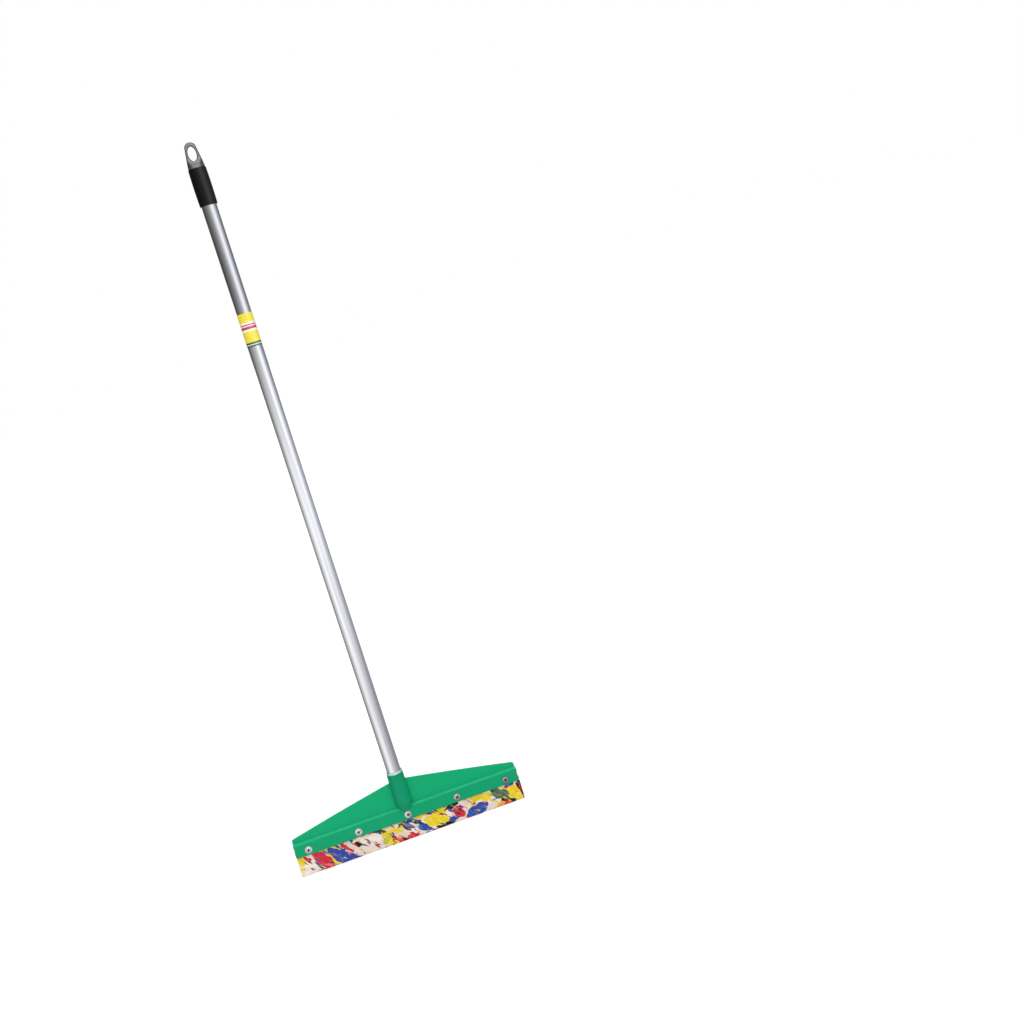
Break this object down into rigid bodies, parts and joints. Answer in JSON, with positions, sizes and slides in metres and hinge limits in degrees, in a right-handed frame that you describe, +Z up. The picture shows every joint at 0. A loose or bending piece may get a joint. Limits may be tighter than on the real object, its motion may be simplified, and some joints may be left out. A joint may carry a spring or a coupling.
{
  "type": "floor squeegee",
  "caption": "Floor squeegee: a wide foam blade clamped under screws in a moulded head, on a metal tube handle that screws in and ends in a grip and a hanging loop.",
  "frame": {"origin": "on the handle's axis, level with the blade's lower edge", "axes": "+Z up along the handle, X along the blade, the screw heads face -Y"},
  "size_m": [0.403, 0.0315, 1.2067],
  "materials": {
    "head_plastic": "satin",
    "blade_foam": "matte",
    "screw_steel": "satin",
    "tip_plastic": "satin",
    "tube_metal": "satin",
    "label_film": "gloss",
    "grip_plastic": "satin",
    "loop_plastic": "satin"
  },
  "bodies": {
    "head": {"head_body": "head_plastic", "foam_blade": "blade_foam", "blade_screw_1": "screw_steel", "blade_screw_2": "screw_steel", "blade_screw_3": "screw_steel", "blade_screw_4": "screw_steel", "blade_screw_5": "screw_steel"},
    "label": {"tube_label": "label_film"},
    "handle": {"handle_tube": "tube_metal", "thread_tip": "tip_plastic", "grip_sleeve": "grip_plastic", "hang_loop": "loop_plastic"}
  },
  "joints": [
    {"name": "handle_advance", "type": "slide", "parent": "head", "child": "label", "axis": [0, 0, 1], "range_m": [0, 0.02]},
    {"name": "handle_twist", "type": "hinge", "parent": "label", "child": "handle", "pos_m": [0, 0, 0.08], "axis": [0, 0, 1], "range_deg": [0, 1440]}
  ],
  "couplings": [
    {"joint": "handle_twist", "follows": "handle_advance", "rad_per_m": 1256.6}
  ]
}
